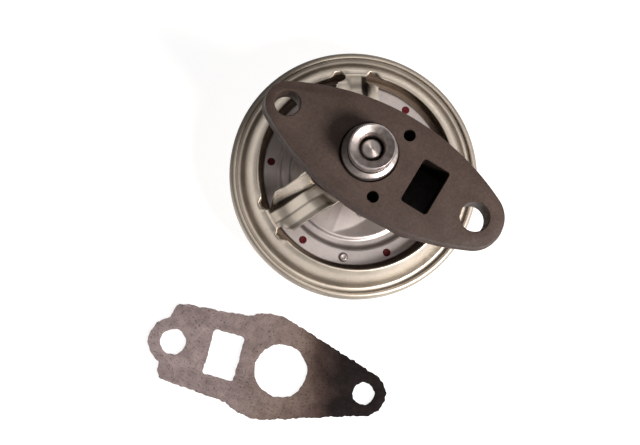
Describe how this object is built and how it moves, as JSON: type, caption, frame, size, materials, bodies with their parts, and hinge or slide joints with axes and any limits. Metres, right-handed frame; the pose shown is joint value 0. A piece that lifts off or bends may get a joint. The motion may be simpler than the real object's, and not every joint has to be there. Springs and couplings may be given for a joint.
{
  "type": "exhaust gas recirculation valve",
  "caption": "Round vacuum-diaphragm exhaust gas recirculation valve with a lozenge cast base, a spoked stamped housing, a pintle in a turned seat, and its loose flat base gasket.",
  "frame": {"origin": "centre of the flat crown of the diaphragm cover, on the floor the valve stands on", "axes": "+Z along the stem axis out of the base's mounting face, +X towards the bolt hole beside the exhaust port"},
  "size_m": [0.1054, 0.1533, 0.082],
  "materials": {
    "cast_iron": "machined face, brown-grey heat-darkened",
    "plated_steel": "yellowish zinc-plated pressing, satin",
    "turned_steel": "turned, semi-bright",
    "spring_steel": "drawn wire",
    "bushing_bronze": "sintered",
    "diaphragm_rubber": "matte",
    "red_silicone": "moulded silicone",
    "gasket_fibre": "mottled, heat-darkened composite"
  },
  "bodies": {
    "valve_body": {"base_casting": "cast_iron", "valve_seat": "turned_steel", "stem_bushing": "bushing_bronze", "stem_seal": "diaphragm_rubber", "seal_retainer": "plated_steel", "heat_shield": "plated_steel", "lower_housing": "plated_steel", "housing_screw_1": "turned_steel", "housing_screw_2": "turned_steel", "cover": "plated_steel", "vacuum_nipple": "plated_steel", "diaphragm": "diaphragm_rubber", "return_spring": "spring_steel"},
    "stem_assembly": {"pintle": "turned_steel", "valve_stem": "turned_steel", "stem_collar": "turned_steel", "lower_plate": "plated_steel", "upper_plate": "plated_steel", "pip_1": "red_silicone", "pip_2": "red_silicone", "pip_3": "red_silicone", "pip_4": "red_silicone", "pip_5": "red_silicone", "pip_6": "red_silicone", "plate_rivet_1": "turned_steel", "plate_rivet_2": "turned_steel", "plate_rivet_3": "turned_steel", "stem_washer": "turned_steel", "stem_nut": "turned_steel"},
    "gasket": {"gasket": "gasket_fibre"}
  },
  "joints": [
    {"name": "valve_travel", "type": "slide", "parent": "valve_body", "child": "stem_assembly", "axis": [0, 0, -1], "range_m": [0, 0.006], "stiffness_N_per_m": 1500, "springref_m": -0.005, "deforming": ["return_spring", "diaphragm"]},
    {"name": "gasket_lift", "type": "slide", "parent": "valve_body", "child": "gasket", "axis": [0, 0, 1], "range_m": [0, 0.05]}
  ]
}
